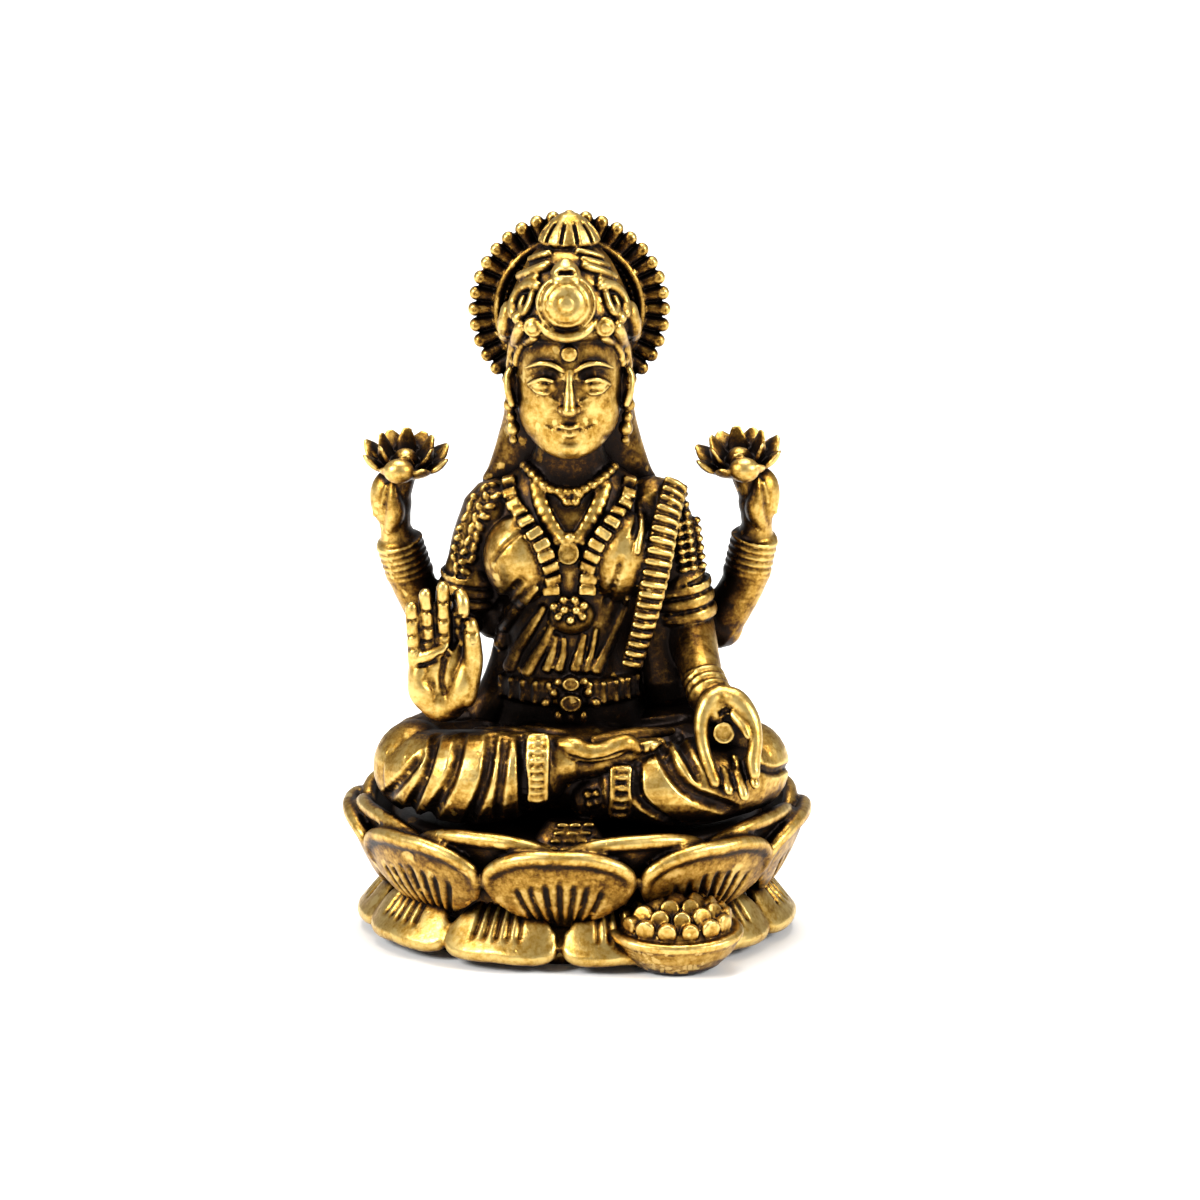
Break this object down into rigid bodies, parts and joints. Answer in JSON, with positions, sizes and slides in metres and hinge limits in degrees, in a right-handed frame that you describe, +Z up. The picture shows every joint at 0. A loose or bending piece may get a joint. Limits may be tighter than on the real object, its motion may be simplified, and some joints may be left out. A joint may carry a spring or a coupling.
{
  "type": "lakshmi figure",
  "caption": "Small solid-cast antiqued brass Lakshmi seated cross-legged on a double lotus, with halo, lotus flowers in the rear hands and a bowl of coins at the foot.",
  "frame": {"origin": "middle of the flat underside, under the middle of the lotus", "axes": "+Z up through the crown, -Y to the front, where the figure faces, +X to the figure's left hand side"},
  "size_m": [0.0318, 0.028, 0.05],
  "materials": {
    "brass": "antiqued: rubbed bright on the high places, dark brown patina in the hollows"
  },
  "bodies": {
    "root": {"lakshmi_figure": "brass"}
  },
  "joints": []
}
